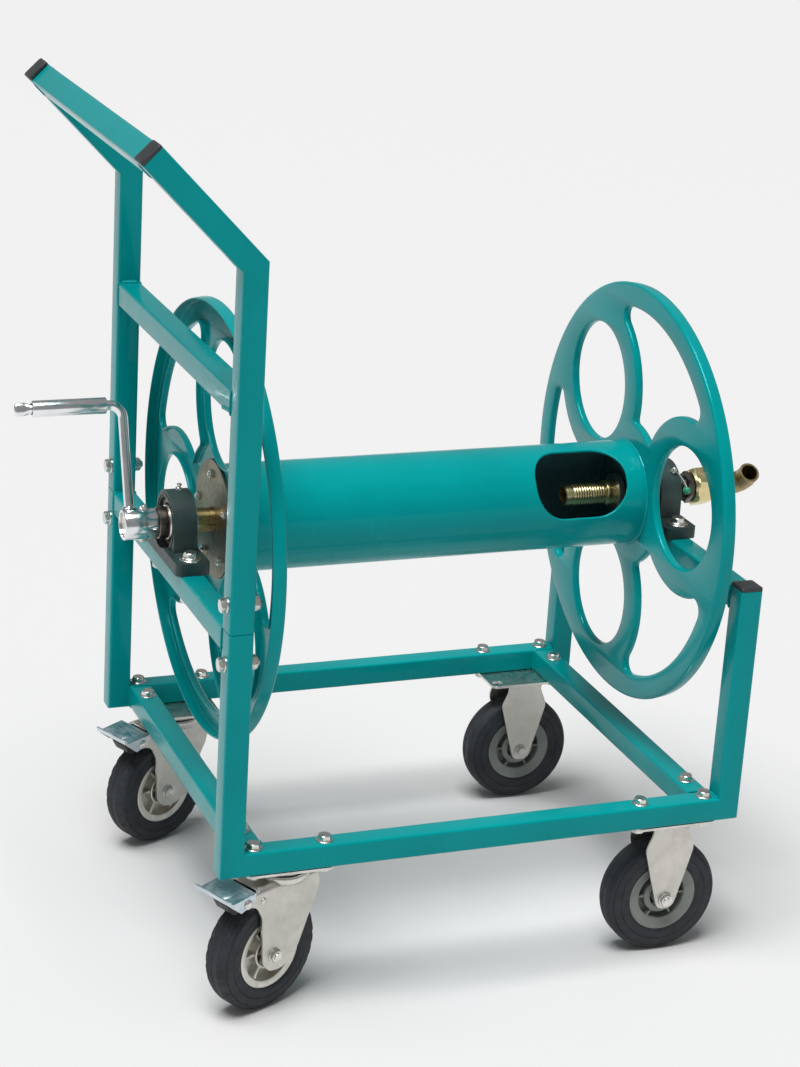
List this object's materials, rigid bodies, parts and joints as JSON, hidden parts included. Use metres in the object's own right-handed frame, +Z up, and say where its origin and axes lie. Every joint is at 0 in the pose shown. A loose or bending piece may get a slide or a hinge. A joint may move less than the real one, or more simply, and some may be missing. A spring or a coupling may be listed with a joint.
{
  "type": "hose reel cart",
  "caption": "Garden hose reel cart: square-tube frame with push handle, cranked drum between open discs, water inlet, two braked swivel casters and two fixed.",
  "frame": {"origin": "on the floor under the middle of the whole cart's box", "axes": "+X along the reel from the push handle to the water inlet, +Y to the far side away from the drum's window, +Z up"},
  "size_m": [0.8288, 0.4876, 0.8922],
  "materials": {
    "teal_paint": "gloss",
    "black_plastic": "satin",
    "zinc_steel": "zinc plated",
    "olive_zinc": "dull yellow zinc",
    "yellow_zinc": "yellow zinc",
    "chrome": "polished",
    "cast_iron": "dark green paint",
    "bearing_steel": "ground",
    "brass": "machined",
    "tyre_rubber": "matt",
    "pale_hub": "cast",
    "grey_hub": "moulded"
  },
  "bodies": {
    "frame": {"frame_front": "teal_paint", "frame_back": "teal_paint", "cross_rail_left": "teal_paint", "cross_rail_right": "teal_paint", "bearing_bar_left": "teal_paint", "bearing_bar_right": "teal_paint", "handle_post_front": "teal_paint", "handle_post_back": "teal_paint", "post_sleeve_front": "zinc_steel", "post_sleeve_back": "zinc_steel", "handle_bar": "teal_paint", "push_bar": "teal_paint", "cap_handle_front": "black_plastic", "cap_handle_back": "black_plastic", "cap_post_front": "black_plastic", "cap_post_back": "black_plastic", "pillow_block_left": "cast_iron", "pillow_block_right": "cast_iron", "block_bolt_left_front": "zinc_steel", "block_bolt_left_back": "zinc_steel", "block_bolt_right_front": "zinc_steel", "block_bolt_right_back": "zinc_steel", "caster_plate_front_left": "zinc_steel", "caster_plate_back_left": "zinc_steel", "caster_bracket_front_right": "zinc_steel", "caster_bracket_back_right": "zinc_steel", "axle_front_right": "zinc_steel", "axle_back_right": "zinc_steel"},
    "reel": {"reel_drum": "teal_paint", "reel_disc_left": "teal_paint", "reel_disc_right": "teal_paint", "hub_plate_left": "olive_zinc", "hub_plate_right": "olive_zinc", "shaft_left": "yellow_zinc", "shaft_right_pipe": "yellow_zinc", "hose_connector": "brass", "bearing_ring_left": "bearing_steel", "bearing_ring_right": "bearing_steel", "crank_hub": "chrome", "crank_rod": "chrome", "union_nut": "brass"},
    "crank_grip": {"crank_grip": "chrome"},
    "inlet_elbow": {"inlet_elbow": "brass"},
    "fork_front_left": {"caster_fork_front_left": "zinc_steel", "axle_front_left": "zinc_steel"},
    "wheel_front_left": {"tyre_front_left": "tyre_rubber", "wheel_hub_front_left": "pale_hub"},
    "pedal_front_left": {"brake_pedal_front_left": "zinc_steel"},
    "fork_back_left": {"caster_fork_back_left": "zinc_steel", "axle_back_left": "zinc_steel"},
    "wheel_back_left": {"tyre_back_left": "tyre_rubber", "wheel_hub_back_left": "pale_hub"},
    "pedal_back_left": {"brake_pedal_back_left": "zinc_steel"},
    "wheel_front_right": {"tyre_front_right": "tyre_rubber", "wheel_hub_front_right": "grey_hub"},
    "wheel_back_right": {"tyre_back_right": "tyre_rubber", "wheel_hub_back_right": "grey_hub"}
  },
  "joints": [
    {"name": "reel_spin", "type": "hinge", "parent": "frame", "child": "reel", "pos_m": [-0.2529, 0.0133, 0.454], "axis": [1, 0, 0], "continuous": true},
    {"name": "crank_grip_spin", "type": "hinge", "parent": "reel", "child": "crank_grip", "pos_m": [-0.3579, 0.05537, 0.56958], "axis": [1, 0, 0], "continuous": true},
    {"name": "inlet_swivel", "type": "hinge", "parent": "reel", "child": "inlet_elbow", "pos_m": [0.4026, 0.0133, 0.454], "axis": [1, 0, 0], "continuous": true},
    {"name": "swivel_front_left", "type": "hinge", "parent": "frame", "child": "fork_front_left", "pos_m": [-0.1904, -0.1827, 0.145], "axis": [0, 0, 1], "continuous": true},
    {"name": "roll_front_left", "type": "hinge", "parent": "fork_front_left", "child": "wheel_front_left", "pos_m": [-0.21266, -0.1927, 0.064], "axis": [0.4099, -0.9121, 0], "continuous": true},
    {"name": "brake_front_left", "type": "hinge", "parent": "fork_front_left", "child": "pedal_front_left", "pos_m": [-0.2506, -0.20975, 0.136], "axis": [0.4099, -0.9121, 0], "range_deg": [0, 24]},
    {"name": "swivel_back_left", "type": "hinge", "parent": "frame", "child": "fork_back_left", "pos_m": [-0.1904, 0.2093, 0.145], "axis": [0, 0, 1], "continuous": true},
    {"name": "roll_back_left", "type": "hinge", "parent": "fork_back_left", "child": "wheel_back_left", "pos_m": [-0.21266, 0.1993, 0.064], "axis": [0.4099, -0.9121, 0], "continuous": true},
    {"name": "brake_back_left", "type": "hinge", "parent": "fork_back_left", "child": "pedal_back_left", "pos_m": [-0.2506, 0.18224, 0.136], "axis": [0.4099, -0.9121, 0], "range_deg": [0, 24]},
    {"name": "roll_front_right", "type": "hinge", "parent": "frame", "child": "wheel_front_right", "pos_m": [0.2416, -0.1827, 0.064], "axis": [0, 1, 0], "continuous": true},
    {"name": "roll_back_right", "type": "hinge", "parent": "frame", "child": "wheel_back_right", "pos_m": [0.2416, 0.2093, 0.064], "axis": [0, 1, 0], "continuous": true}
  ]
}
